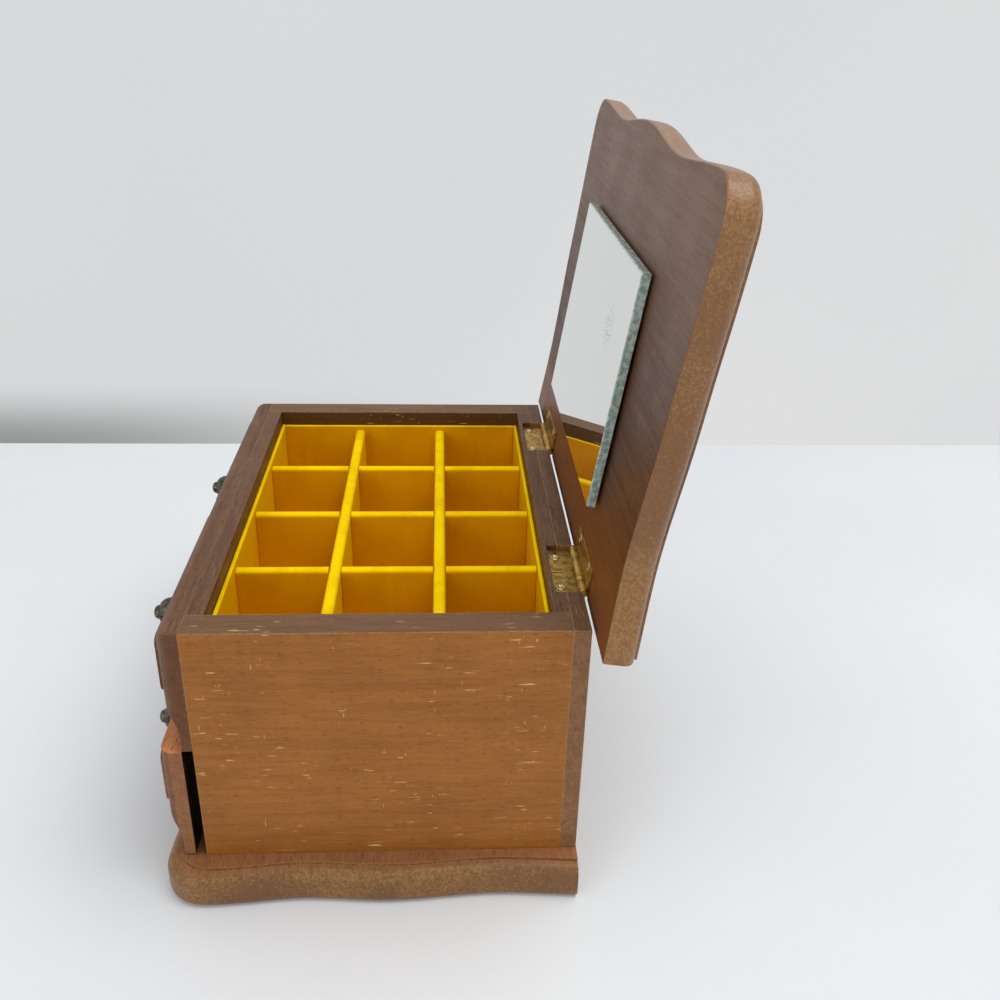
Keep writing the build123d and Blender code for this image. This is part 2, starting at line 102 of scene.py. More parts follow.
print("sums on sockets:", [name for name in vars(Value) if name.startswith("__r")])


# %% A finish and its nodes
class Finish:
    """A material with one Principled shader, and short ways to reach the usual nodes."""

    def __init__(self, name, **constants):
        self.material = bpy.data.materials.new(name)
        self.material.use_nodes = True
        self.tree = self.material.node_tree
        self.shader = self.tree.nodes["Principled BSDF"]
        for socket, value in constants.items():
            self.shader.inputs[socket.replace("_", " ")].default_value = value

    def node(self, kind, settings=None, sockets=None, output=0):
        made = self.tree.nodes.new("ShaderNode" + kind)
        for key, value in (settings or {}).items():
            if key == "stops":
                self.set_stops(made.color_ramp, value)
            else:
                setattr(made, key, value)
        for key, value in (sockets or {}).items():
            self.feed(made.inputs[key], value)
        return Value(self, made.outputs[output])

    def feed(self, socket, value):
        if isinstance(value, Value):
            self.tree.links.new(value.socket, socket)
        else:
            socket.default_value = value

    def set_stops(self, ramp, stops):
        while len(ramp.elements) < len(stops):
            ramp.elements.new(0.5)
        for element, (position, colour) in zip(ramp.elements, stops):
            element.position = position
            element.color = colour

    def give(self, **sockets):
        for key, value in sockets.items():
            self.feed(self.shader.inputs[key.replace("_", " ")], value)
        return self.material

    def place(self, stretch=(1.0, 1.0, 1.0), turn=(0.0, 0.0, 0.0)):
        """The point of the part, in metres, turned and then stretched."""
        point = self.node("TexCoord", output="Object")
        return self.node("Mapping", {}, {"Vector": point, "Rotation": turn, "Scale": stretch})

    def noise(self, point, scale, detail=3.0, roughness=0.5, distortion=0.0):
        sockets = {"Vector": point, "Scale": scale, "Detail": detail}
        sockets.update({"Roughness": roughness, "Distortion": distortion})
        return self.node("TexNoise", {}, sockets)

    def cells(self, point, scale, feature="F1", output="Distance"):
        settings = {"feature": feature}
        return self.node("TexVoronoi", settings, {"Vector": point, "Scale": scale}, output)

    def smooth(self, value, low, high):
        """0 below low, 1 above high and a soft step between them."""
        settings = {"interpolation_type": "SMOOTHSTEP"}
        return self.node("MapRange", settings, {0: value, 1: low, 2: high})

    def mix(self, factor, first, second, blend="MIX"):
        settings = {"data_type": "RGBA", "blend_type": blend}
        return self.node("Mix", settings, {0: factor, 6: first, 7: second}, 2)

    def facing(self, direction, normal=None):
        """How far the surface faces a direction, from -1 to 1."""
        seen = normal or self.object_normal()
        settings = {"operation": "DOT_PRODUCT"}
        return self.node("VectorMath", settings, {0: seen, 1: direction}, "Value")

    def object_normal(self):
        seen = self.node("NewGeometry", output="True Normal")
        settings = {"vector_type": "NORMAL", "convert_from": "WORLD", "convert_to": "OBJECT"}
        return self.node("VectorTransform", settings, {0: seen})

    def soft_edges(self, radius):
        return self.node("Bevel", {"samples": 6}, {"Radius": radius})

    def edge_mask(self, soft, low, high):
        """1 on a sharp edge, 0 on a flat or a gentle curve."""
        flat = self.node("NewGeometry", output="Normal")
        return self.smooth(1.0 - self.facing_of(soft, flat), low, high)

    def facing_of(self, first, second):
        settings = {"operation": "DOT_PRODUCT"}
        return self.node("VectorMath", settings, {0: first, 1: second}, "Value")

    def bump(self, height, distance, strength=1.0, normal=None):
        sockets = {"Height": height, "Distance": distance, "Strength": strength}
        if normal is not None:
            sockets["Normal"] = normal
        return self.node("Bump", {}, sockets)


def tone(red, green, blue):
    """A colour given as it looks on a screen, from 0 to 255, as the shader's linear values."""
    shares = [channel / 255 for channel in (red, green, blue)]
    bent = [s / 12.92 if s <= 0.04045 else ((s + 0.055) / 1.055) ** 2.4 for s in shares]
    return (*bent, 1.0)


print("a mid brown is", [round(channel, 3) for channel in tone(150, 95, 46)])

# %% [markdown]
# ## Old stained wood
#
# Every board of the box is a stained and lacquered hardwood with years of handling on it.
# A picture of wood could be wrapped round each board, but it would stretch over the moulded
# edges and end at the corners. A solid pattern has no seams: noise is stretched along the
# grain, so a face along the board shows streaks and an end shows short speckled end grain.
# Broad patches, open pores, pale nicks and the lighter, rubbed edges come from more noise
# and from how sharply the surface turns. The tops of the boards went darker than their
# sides, so the finish also asks which way a face looks. The same test paints a shadow on the
# faces in the drawer's slit and a painted light on the drawer's top.

# %% The wood function
grain_stretch = 0.05
pore_stretch = 0.16
scratch_stretch = 0.14
rubbed_width = 0.0009
pore_depth = 0.0001
front, back, top = (0, -1, 0), (0, 1, 0), (0, 0, 1)
# A painted shadow: near black on the faces in the drawer's slit, the front ends of the side boards and the back of
# the drawer front, which lie in deep shade.
painted_slit_shadow = tone(16, 10, 8)


def grain_place(finish, grain, stretch):
    """The point of the board, squeezed along its grain so that noise comes out as streaks."""
    return finish.place((stretch, 1, 1) if grain == "X" else (1, stretch, 1))


def wood(name, stain, dark, worn, grain="X", sides=(), gloss=0.42, nicks=0.35, rub=0.5,
         contrast=0.8):
    """A lacquered board with its grain along X or Y. Each of the sides is a direction and
    the tone of the faces that look that way: a stain on most boards, but a painted shadow
    in the drawer's slit and a painted light on the drawer's top."""
    finish = Finish(name, Coat_Roughness=0.1)
    finish.shader.inputs["Specular IOR Level"].default_value = 0.32
    patches = finish.noise(finish.place(), 24.0, 3.0, 0.55)
    figure = finish.noise(grain_place(finish, grain, grain_stretch), 210.0, 4.0, 0.6, 0.4)
    fine = finish.noise(grain_place(finish, grain, grain_stretch), 1100.0, 3.0, 0.6)
    pore_noise = finish.noise(grain_place(finish, grain, pore_stretch), 1600.0, 1.0, 0.4)
    grit = finish.noise(finish.place(), 1400.0, 3.0, 0.6)
    patch = finish.smooth(patches, 0.36, 0.66)
    streak = finish.smooth(figure * 0.5 + fine * 0.5, 0.34, 0.62)
    pore = finish.smooth(pore_noise, 0.6, 0.68)

    colour = finish.mix(patch * 0.45, stain, finish.mix(0.5, stain, dark))
    # A side's tone is a stain, except for the painted shadow in the drawer's slit and the painted light on the
    # drawer's top.
    for direction, side_tone in sides:
        side = finish.smooth(finish.facing(direction), 0.86, 0.97)
        colour = finish.mix(side, colour, side_tone)
    shade = finish.mix(streak, (0.62, 0.58, 0.55, 1.0), (1.08, 1.07, 1.05, 1.0))
    colour = finish.mix(contrast, colour, shade, "MULTIPLY")
    pore_stain = [share * 0.6 for share in dark[:3]] + [1.0]
    colour = finish.mix(pore * contrast * 0.75, colour, pore_stain)

    soft = finish.soft_edges(rubbed_width)
    edge = finish.edge_mask(soft, 0.01, 0.1)
    rubbed = edge * finish.smooth(patches * 0.4 + grit * 0.6, 0.4, 0.58) * rub
    colour = finish.mix(rubbed, colour, worn)

    dashes = finish.noise(grain_place(finish, grain, scratch_stretch), 900.0, 1.0, 0.4)
    slants = finish.noise(finish.place((1, 1, 0.25), (0.9, 0.3, 0.6)), 1100.0, 1.0, 0.4)
    rare = finish.smooth(finish.noise(finish.place(), 55.0, 2.0, 0.5), 0.5, 0.62)
    scar = finish.smooth(dashes, 0.68, 0.735) * 0.8 + finish.smooth(slants, 0.73, 0.77) * 0.7
    scar = (scar * (rare + 0.1) * nicks).at_most(1.0)
    colour = finish.mix(scar, colour, worn)

    height = streak * 0.4 - pore * 0.6 - scar * 0.8 + grit * 0.1
    normal = finish.bump(height, pore_depth, 0.5, soft)
    roughness = gloss + (1 - streak) * 0.08 + patch * 0.06 + scar * 0.25
    finish.parts = {"colour": colour, "patch": patch, "grit": grit}
    finish.give(Base_Color=colour, Roughness=roughness, Normal=normal)
    return finish


print("grain streaks are", round(1 / grain_stretch), "times as long as they are wide")

# %% [markdown]
# ## Plinth and lid, rubbed on their mouldings
#
# The plinth and the lid have flat faces that went dull and rounded edges that hands have
# polished back to a tan colour, with a pale line where the rounding meets the step. The
# surface's own direction tells the two apart: a flat face looks straight up or down, and
# the rounding looks outwards. That works all round the serpentine outline. The lid is also
# greyer towards its free edge and carries an orange painted reflection by the hinges, so two
# more tones come in with the height at which it stands when it is open.

# %% Wood with rubbed mouldings
lacquer_softness = 0.32
wear_share = 0.45


def moulded_wood(name, stain, dark, worn, flat_axis, back_axis, rounding, gloss=0.42,
                 lacquer=0.3, contrast=1.0, tones_by_height=()):
    """A plank whose flat faces look along flat_axis and whose rounding is rubbed. The back
    edge, which looks along back_axis, is sawn straight and keeps its stain. Each of the tones
    by height is a tone, how strong it is, and the heights between which it comes in; on the
    lid the lower one is a painted reflection."""
    finish = wood(name, stain, dark, worn, gloss=gloss, nicks=0.3, rub=0.35, contrast=contrast)
    finish.shader.inputs["Coat Roughness"].default_value = lacquer_softness
    parts = finish.parts
    height = finish.facing_of(finish.place(), top)
    # Tones by height: on the lid a greyer tone high up and an orange painted reflection low down.
    for height_tone, strength, start, full in tones_by_height:
        height_share = finish.smooth(height, start, full) * strength
        parts["colour"] = finish.mix(height_share, parts["colour"], height_tone)
    level = abs(finish.facing(flat_axis))
    sawn = finish.smooth(finish.facing(back_axis), 0.9, 0.98)
    turned = finish.smooth(level, 0.99, 0.9) * (1 - sawn)
    flakes = finish.noise(finish.place(), 700.0, 4.0, 0.7)
    wear = finish.smooth(parts["patch"] * 0.12 + flakes * 0.6 + parts["grit"] * 0.28, 0.44, 0.66)
    ground = finish.mix(0.85, parts["colour"], rounding)
    edge_colour = finish.mix(wear * wear_share, ground, worn)
    finish.give(Base_Color=finish.mix(turned, parts["colour"], edge_colour))
    finish.give(Coat_Weight=turned * lacquer)
    return finish


rim_stain = tone(114, 80, 50)
inner_stain = tone(84, 56, 22)
ends = ((1, 0, 0), (-1, 0, 0))


def side_finish(hand, inwards):
    """The finish of one side board, dark on the face that looks into the box, with a painted shadow on its front
    end, in the drawer's slit.
    """
    return wood(
        hand + "_side_wood",
        stain=tone(160, 99, 34),
        dark=tone(112, 64, 22),
        worn=tone(220, 180, 124),
        grain="Y",
        # The front end carries the painted slit shadow.
        sides=((top, rim_stain), (front, painted_slit_shadow), ((inwards, 0, 0), inner_stain)),
        nicks=0.85,
        contrast=0.5,
    )


left_side_wood = side_finish("left", 1)
right_side_wood = side_finish("right", -1)
case_wood = wood(
    "case_wood",
    stain=tone(110, 74, 46),
    dark=tone(66, 40, 24),
    worn=tone(170, 134, 92),
    sides=[(end, tone(106, 62, 32)) for end in ends],
)
back_wood = wood(
    "back_wood",
    stain=tone(112, 78, 48),
    dark=tone(64, 40, 24),
    worn=tone(190, 150, 104),
    sides=[(end, tone(138, 96, 60)) for end in ends],
    rub=0.8,
)
inner_wood = wood(
    "inner_wood",
    stain=tone(150, 112, 74),
    dark=tone(98, 66, 40),
    worn=tone(176, 140, 98),
    nicks=0.2,
    rub=0.3,
)
# The back of the drawer front gets the painted slit shadow, and its top a painted light, much lighter than its
# stain.
drawer_sides = [(back, painted_slit_shadow), (top, tone(214, 138, 82))]
drawer_sides += [(end, tone(146, 96, 58)) for end in ends]
drawer_wood = wood(
    "drawer_wood",
    stain=tone(128, 80, 46),
    dark=tone(78, 46, 26),
    worn=tone(190, 144, 100),
    sides=drawer_sides,
)
plinth_wood = moulded_wood(
    "plinth_wood",
    stain=tone(158, 106, 66),
    dark=tone(96, 60, 36),
    worn=tone(184, 138, 66),
    flat_axis=top,
    back_axis=back,
    rounding=tone(104, 66, 27),
    contrast=0.6,
)
lid_slope = radians(frame["joints"][0]["range_deg"][1])
lid_normal = (0.0, -sin(lid_slope), -cos(lid_slope))
lid_wood = moulded_wood(
    "lid_wood",
    stain=tone(88, 50, 26),
    dark=tone(40, 24, 15),
    worn=tone(184, 138, 84),
    flat_axis=lid_normal,
    back_axis=(0.0, cos(lid_slope), -sin(lid_slope)),
    rounding=tone(126, 82, 34),
    gloss=0.4,
    lacquer=0.5,
    # Greyer towards the free edge; the orange tone towards the hinges is a painted reflection.
    tones_by_height=(
        (tone(134, 102, 82), 0.55, 0.2, 0.3),
        (tone(140, 78, 22), 0.6, 0.19, 0.14),
    ),
)
print("woods:", [finish.material.name for finish in (left_side_wood, case_wood, lid_wood)])

# %% [markdown]
# ## Yellow velvet
#
# The tray is card wrapped in a short-pile velvet. Velvet is bright where the pile is seen
# from the side and deep where it is seen end-on, which is what the shader's sheen does.
# The faces that look up are also painted brighter than the walls, a painted sheen.
# Cloth could be simulated, but it is glued tight here, so the pile is a fine noise in the
# bump and pressed patches are a broad noise in the colour.

# %% Velvet
pile_depth = 0.0003
pile_round = 0.0006


def velvet_pile(name, edges, walls, pressed):
    """The edges, which look up, are painted brighter than the walls, a painted sheen, and the walls show their
    pile end-on.
    """
    finish = Finish(name, Roughness=0.9, Sheen_Weight=0.35, Sheen_Roughness=0.35)
    finish.shader.inputs["Sheen Tint"].default_value = edges
    finish.shader.inputs["Specular IOR Level"].default_value = 0.04
    brushed = finish.noise(finish.place((1, 1, 0.6)), 42.0, 4.0, 0.6, 0.8)
    fibres = finish.noise(finish.place(), 2600.0, 2.0, 0.6)
    tufts = finish.noise(finish.place(), 900.0, 3.0, 0.6)
    # The faces that look up get the bright colour: a painted sheen.
    painted_sheen_share = finish.smooth(finish.facing(top), 0.2, 0.8)
    colour = finish.mix(painted_sheen_share, walls, edges)
    colour = finish.mix(finish.smooth(brushed, 0.4, 0.7) * 0.3, colour, pressed)
    colour = finish.mix(finish.smooth(tufts, 0.56, 0.7) * 0.25, colour, pressed)
    normal = finish.bump(fibres * 0.6 + tufts * 0.4, pile_depth, 0.7, finish.soft_edges(pile_round))
    return finish.give(Base_Color=colour, Normal=normal)


# The edges colour is the painted sheen on the faces that look up, and also the sheen's tint.
velvet = velvet_pile(
    "velvet", edges=tone(252, 212, 5), walls=tone(222, 160, 2), pressed=tone(196, 124, 1)
)
print("velvet is", velvet.name)

# %% [markdown]
# ## Brass, bronze, steel and the mirror
#
# The hinges are thin brass that has gone brown in spots, and the knobs are cast bronze
# with dark hollows and rubbed high places. Both are metals, so their colour is the colour
# of what they reflect. The mirror is clear glass with silver behind it: a face of the plate
# reflects like metal, and its ground edge shows the green of the glass. At one place the
# silver has come off in specks, so cells make dots there and a distance keeps them together.

# %% Metals
metal_edge_width = 0.0004
pit_depth = 0.00008


def aged_metal(name, bright, dull, spots, roughness, spot_size, metallic=1.0):
    """Metal that is bright on its edges and brown or pitted in clouds of spots."""
    finish = Finish(name, Metallic=metallic)
    cloud = finish.noise(finish.place(), spot_size, 4.0, 0.62, 0.3)
    speck = finish.noise(finish.place(), spot_size * 7, 3.0, 0.6)
    colour = finish.mix(finish.smooth(cloud, 0.36, 0.62), dull, bright)
    pitted = finish.smooth(speck * 0.6 + cloud * 0.4, 0.53, 0.6)
    colour = finish.mix(pitted * 0.7, colour, spots)
    soft = finish.soft_edges(metal_edge_width)
    rim = finish.edge_mask(soft, 0.02, 0.2)
    colour = finish.mix(rim * 0.45, colour, bright)
    normal = finish.bump(cloud * 0.6 - pitted * 0.5 + speck * 0.3, pit_depth, 0.6, soft)
    grade = roughness + pitted * 0.25 + (1 - cloud) * 0.1
    return finish.give(Base_Color=colour, Roughness=grade, Normal=normal)


# Painted shade: a dark, dull metal inside the screws' recesses, where the hollow is in shade.
recess_shade = aged_metal(
    "recess_shade",
    bright=tone(84, 64, 40),
    dull=tone(40, 30, 20),
    spots=tone(18, 14, 10),
    roughness=0.6,
    spot_size=500.0,
    metallic=0.4,
)
hinge_brass = aged_metal(
    "hinge_brass",
    bright=tone(226, 186, 96),
    dull=tone(150, 114, 56),
    spots=tone(70, 48, 26),
    roughness=0.3,
    spot_size=260.0,
)
knob_bronze = aged_metal(
    "knob_bronze",
    bright=tone(116, 110, 96),
    dull=tone(64, 58, 50),
    spots=tone(30, 26, 24),
    roughness=0.28,
    spot_size=320.0,
)
screw_steel = aged_metal(
    "screw_steel",
    bright=tone(226, 204, 150),
    dull=tone(186, 162, 112),
    spots=tone(96, 76, 50),
    roughness=0.26,
    spot_size=500.0,
)
print("metals:", hinge_brass.name, knob_bronze.name, screw_steel.name)


# %% Mirror plate and its pads
speck_scale = 900.0
speck_reach = 0.013
speck_core = 0.004


def silvered_glass(name, silver, glass, gleam, spot, bare):
    """Silver on the faces that look along the lid's normal, green ground glass between.
    Round the spot the silver has come off in specks."""
    finish = Finish(name, Coat_Roughness=0.02)
    face = finish.smooth(abs(finish.facing(lid_normal)), 0.9, 0.98)
    waves = finish.noise(finish.place(), 420.0, 2.0, 0.5)
    band = finish.mix(finish.smooth(waves, 0.4, 0.62), glass, gleam)
    settings = {"operation": "DISTANCE"}
    away = finish.node("VectorMath", settings, {0: finish.place(), 1: spot}, "Value")
    dots = finish.smooth(finish.cells(finish.place(), speck_scale), 0.4, 0.24)
    specks = dots * finish.smooth(away, speck_reach, speck_core) * face
    colour = finish.mix(specks, finish.mix(face, band, silver), bare)
    normal = finish.bump(waves, 0.0002, 0.15)
    level = finish.node("NewGeometry", output="Normal")
    chosen = finish.node("Mix", {"data_type": "VECTOR"}, {0: face, 4: normal, 5: level}, 1)
    roughness = 0.16 - face * 0.145
    metallic = face * 0.98 - specks * 0.6
    return finish.give(
        Base_Color=colour, Metallic=metallic, Roughness=roughness, Normal=chosen, Coat_Weight=0.5
    )


def foam(name, colour, shade):
    """Pale foam with small pits."""
    finish = Finish(name, Roughness=0.9)
    pits = finish.cells(finish.place(), 1400.0)
    mixed = finish.mix(finish.smooth(pits, 0.1, 0.5), shade, colour)
    return finish.give(Base_Color=mixed, Normal=finish.bump(pits, 0.0002, 0.6))


spot_share = (0.75, 0.66, 0.67)
mirror_low, mirror_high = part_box("mirror_glass")
worn_spot = [
    low + (high - low) * share for low, high, share in zip(mirror_low, mirror_high, spot_share)
]
mirror = silvered_glass(
    "mirror_glass",
    silver=tone(236, 238, 234),
    glass=tone(134, 150, 140),
    gleam=tone(176, 192, 182),
    spot=worn_spot,
    bare=tone(96, 94, 88),
)
pads = foam("foam_pads", colour=tone(226, 224, 214), shade=tone(176, 172, 160))
print("mirror and pads:", mirror.name, pads.name)

# %% [markdown]
# ## Giving the finishes to the parts
#
# Each part names the slot of its finish, so one table is enough. The meshes stay as they
# are; only the material in the slot changes.

# %% Finishes on the parts
finishes = {
    "side_wood": left_side_wood.material,
    "case_wood": case_wood.material,
    "plinth_wood": plinth_wood.material,
    "lid_wood": lid_wood.material,
    "drawer_wood": drawer_wood.material,
    "inner_wood": inner_wood.material,
    "velvet": velvet,
    "hinge_brass": hinge_brass,
    "knob_bronze": knob_bronze,
    "screw_steel": screw_steel,
    "mirror_glass": mirror,
    "foam_pads": pads,
}


def dress(thing, material):
    """Gives the thing one finish in place of any that it has."""
    thing.data.materials.clear()
    thing.data.materials.append(material)


for name, part in nodes.items():
    dress(part, finishes[slots[name]])
dress(nodes["right_side_board"], right_side_wood.material)
dress(nodes["back_board"], back_wood.material)
print(len(nodes), "parts dressed in", len(finishes), "finishes")

# %% [markdown]
# ## Turned and cast knobs
#
# A knob is a body of revolution with petals cast round its dome. It could be a revolved
# curve with a Screw modifier, but the petals need the radius and the angle together, so
# rings of points are set out one by one: each ring has a radius, a height, and a share of
# the petal relief.

# %% Rings of points
ring_points = 120


def ringed_mesh(name, rings, place, petals=0, relief=0.0, second_from=None):
    """Joins rings of (radius, height, petal share) into a closed mesh that stands on the
    place's XY plane and looks along its Z. From one ring on it has its second finish."""
    shape = bmesh.new()
    rows = []
    for radius, height, share in rings:
        row = []
        for step in range(ring_points):
            angle = 2 * pi * step / ring_points
            wave = abs(cos(petals * angle / 2)) if petals else 0.0
            lift = relief * share * (wave - 0.5)
            point = Vector((radius * cos(angle), radius * sin(angle), height + lift))
            row.append(shape.verts.new(place @ point))
        rows.append(row)
    for number, (lower, upper) in enumerate(zip(rows, rows[1:])):
        for step in range(ring_points):
            after = (step + 1) % ring_points
            face = shape.faces.new((lower[step], lower[after], upper[after], upper[step]))
            face.material_index = int(second_from is not None and number >= second_from)
    shape.faces.new(list(reversed(rows[0])))
    cap = shape.faces.new(rows[-1])
    cap.material_index = int(second_from is not None)
    bmesh.ops.recalc_face_normals(shape, faces=shape.faces)
    mesh = bpy.data.meshes.new(name)
    shape.to_mesh(mesh)
    shape.free()
    mesh.shade_smooth()
    thing = bpy.data.objects.new(name, mesh)
    bpy.context.scene.collection.objects.link(thing)
    return thing


print("a ring has", ring_points, "points")

# %% Knob heads
knob_profile = (
    (4.5, 0.0, 0.0),
    (4.5, 1.1, 0.0),
    (5.2, 1.3, 0.0),
    (7.1, 1.3, 0.0),
    (7.7, 1.7, 0.0),
    (7.9, 2.5, 0.0),
    (7.7, 3.3, 0.0),
    (7.1, 3.7, 0.0),
    (6.6, 3.6, 0.0),
    (6.5, 4.2, 0.0),
    (6.7, 5.0, 0.3),
    (6.4, 6.2, 0.9),
    (5.9, 7.3, 1.0),
    (5.2, 8.3, 1.0),
    (4.5, 9.0, 0.8),
    (3.9, 9.3, 0.2),
    (3.5, 9.1, 0.0),
    (3.3, 9.2, 0.0),
    (3.3, 10.2, 0.0),
    (3.0, 11.2, 0.0),
    (2.4, 11.9, 0.0),
    (1.5, 12.3, 0.0),
    (0.5, 12.4, 0.0),
)
petal_count = 16
petal_relief = 0.0009
millimetre = 0.001


def cast_knob(name):
    """Rings in millimetres from the disc outwards, set where the plain knob stands."""
    low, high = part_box(name)
    rings = [(r * millimetre, h * millimetre, share) for r, h, share in knob_profile]
    middle = Vector(((low.x + high.x) / 2, high.y, (low.z + high.z) / 2))
    place = Matrix.Translation(middle) @ Matrix.Rotation(pi / 2, 4, "X")
    knob = ringed_mesh(name + "_cast", rings, place, petal_count, petal_relief)
    dress(knob, knob_bronze)
    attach(knob, "drawer" if name.startswith("drawer") else "case")
    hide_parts(name)
    return knob


knobs = [cast_knob(name) for name in nodes if name.endswith("_knob")]
print(len(knobs), "knobs of", petal_count, "petals")

# %% [markdown]
# ## Screw heads on the hinges
#
# Each leaf is held by two small oval-headed screws with a recess for the driver. At this
# size a driver's cross is a dark hollow with a bright rim, so the head is turned as rings
# that climb to a rim and then drop into the recess, and the cross is cut by the petal wave
# of four arms. The inside of the recess is painted dark, a painted shade.

# %% Screws
screw_profile = (
    (0.3, -8.9, 0.0),
    (0.9, -7.6, 0.0),
    (1.1, -6.8, 0.0),
    (1.1, -0.6, 0.0),
    (2.35, -0.05, 0.0),
    (2.4, 0.05, 0.0),
    (2.25, 0.22, 0.0),
    (1.95, 0.34, 0.0),
    (1.5, 0.36, 0.0),
    (1.25, 0.3, 0.2),
    (1.0, -0.1, 1.0),
    (0.6, -0.45, 1.0),
    (0.15, -0.6, 0.0),
)
recess_arms = 4
recess_ring = 8
recess_relief = 0.0006

# How far the screws stand from a hinge's middle and from its pin, worked out from the part
screw_low, screw_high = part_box("box_leaf_screws")
leaf_low, leaf_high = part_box("right_hinge_box_leaf")
head_radius = screw_profile[5][0] * millimetre
screw_shift = screw_high.x - head_radius - (leaf_low.x + leaf_high.x) / 2
barrel = Vector(frame["joints"][0]["pos_m"])
screw_reach = barrel.y - (screw_low.y + screw_high.y) / 2
leaf_thickness = 0.0009
barrel_radius = 0.00175
face_height = leaf_thickness - barrel_radius


def joined(name, things):
    """Several meshes as one thing."""
    shape = bmesh.new()
    for thing in things:
        shape.from_mesh(thing.data)
        bpy.data.objects.remove(thing)
    mesh = bpy.data.meshes.new(name)
    shape.to_mesh(mesh)
    shape.free()
    mesh.shade_smooth()
    whole = bpy.data.objects.new(name, mesh)
    bpy.context.scene.collection.objects.link(whole)
    return whole


def hinge_screws(node, body, leaf_face):
    """The four screws of one wing: leaf_face places the leaf's face from (x, reach)."""
    rings = [(r * millimetre, h * millimetre, share) for r, h, share in screw_profile]
    screws = []
    for side in ("left", "right"):
        low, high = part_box(f"{side}_hinge_box_leaf")
        middle = (low.x + high.x) / 2
        for shift in (-screw_shift, screw_shift):
            place = leaf_face @ Matrix.Translation((middle + shift, screw_reach, 0.0))
            screws.append(
                ringed_mesh("screw", rings, place, recess_arms, recess_relief, recess_ring)
            )
    heads = joined(node + "_turned", screws)
    dress(heads, screw_steel)
    # The recess takes the second finish, a painted shade.
    heads.data.materials.append(recess_shade)
    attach(heads, body)
    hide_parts(node)
    return heads


def wing_face(across, away, outwards):
    """The matrix of a wing's open face, from the pin line and three directions."""
    turn = Matrix((across, away, outwards)).transposed().to_4x4()
    return Matrix.Translation(barrel + Vector(outwards) * face_height) @ turn


box_face = wing_face((-1, 0, 0), (0, -1, 0), (0, 0, 1))
lid_face = wing_face((1, 0, 0), (0, -cos(lid_slope), sin(lid_slope)), lid_normal)
hinge_screws("box_leaf_screws", "case", box_face)
hinge_screws("lid_leaf_screws", "lid", lid_face)
print("screws at", round(screw_shift, 4), "from a hinge's middle")

# %% [markdown]
# ## Knuckles
#
# The leaves are rolled round the pin into three knuckles, the long middle one on one leaf
# and the short outer two on the other. Each knuckle gets a rolled sleeve with rounded ends,
# so that the joints between them show as dark lines, as they do on pressed brass.

# %% Rolled sleeves
sleeve_radius = 0.00205
sleeve_bore = barrel_radius * 0.7
sleeve_round = 0.0004
joint_width = 0.0003


def sleeve(name, start, end, body):
    """A tube with rounded ends round the pin, from one x to another."""
    length = end - start
    rings = (
        (sleeve_bore, 0.0, 0.0),
        (barrel_radius, 0.0, 0.0),
        (sleeve_radius, sleeve_round, 0.0),
        (sleeve_radius, length - sleeve_round, 0.0),
        (barrel_radius, length, 0.0),
        (sleeve_bore, length, 0.0),
    )
    place = Matrix.Translation((start, barrel.y, barrel.z)) @ Matrix.Rotation(pi / 2, 4, "Y")
    thing = ringed_mesh(name, rings, place)
    dress(thing, hinge_brass)
    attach(thing, body)
    return thing


for hand in ("left", "right"):
    low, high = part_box(f"{hand}_hinge_pin")
    quarter = (high.x - low.x) / 4
    cuts = (low.x, low.x + quarter, high.x - quarter, high.x)
    for number, (start, end) in enumerate(zip(cuts, cuts[1:]), 1):
        body = "lid" if number == 2 else "case"
        sleeve(f"{hand}_knuckle_{number}", start + joint_width, end - joint_width, body)
print("six rolled sleeves")

# %% [markdown]
# ## The studio
#
# The box stands on a pale floor in front of a plain wall. A large soft lamp above, a
# smaller one like a window and a pale world all round keep the shadows faint, as in a light
# tent. The lamps are kept at a plain level, so that a finish looks as bright as it is written.
# The wall itself is a painted glow, with a painted shadow low down on one side.

# %% Floor and backdrop
def plain_sheet(name, corners, colour, shade):
    """A flat pale sheet for the stage, with a faint drift in its tone."""
    mesh = bpy.data.meshes.new(name)
    mesh.from_pydata(corners, [], [tuple(range(len(corners)))])
    sheet = bpy.data.objects.new(name, mesh)
    bpy.context.scene.collection.objects.link(sheet)
    finish = Finish(name, Roughness=0.9)
    finish.shader.inputs["Specular IOR Level"].default_value = 0.1
    drift = finish.smooth(finish.noise(finish.place(), 3.0, 2.0, 0.5), 0.35, 0.65)
    finish.give(Base_Color=finish.mix(drift, colour, shade))
    dress(sheet, finish.material)
    return finish


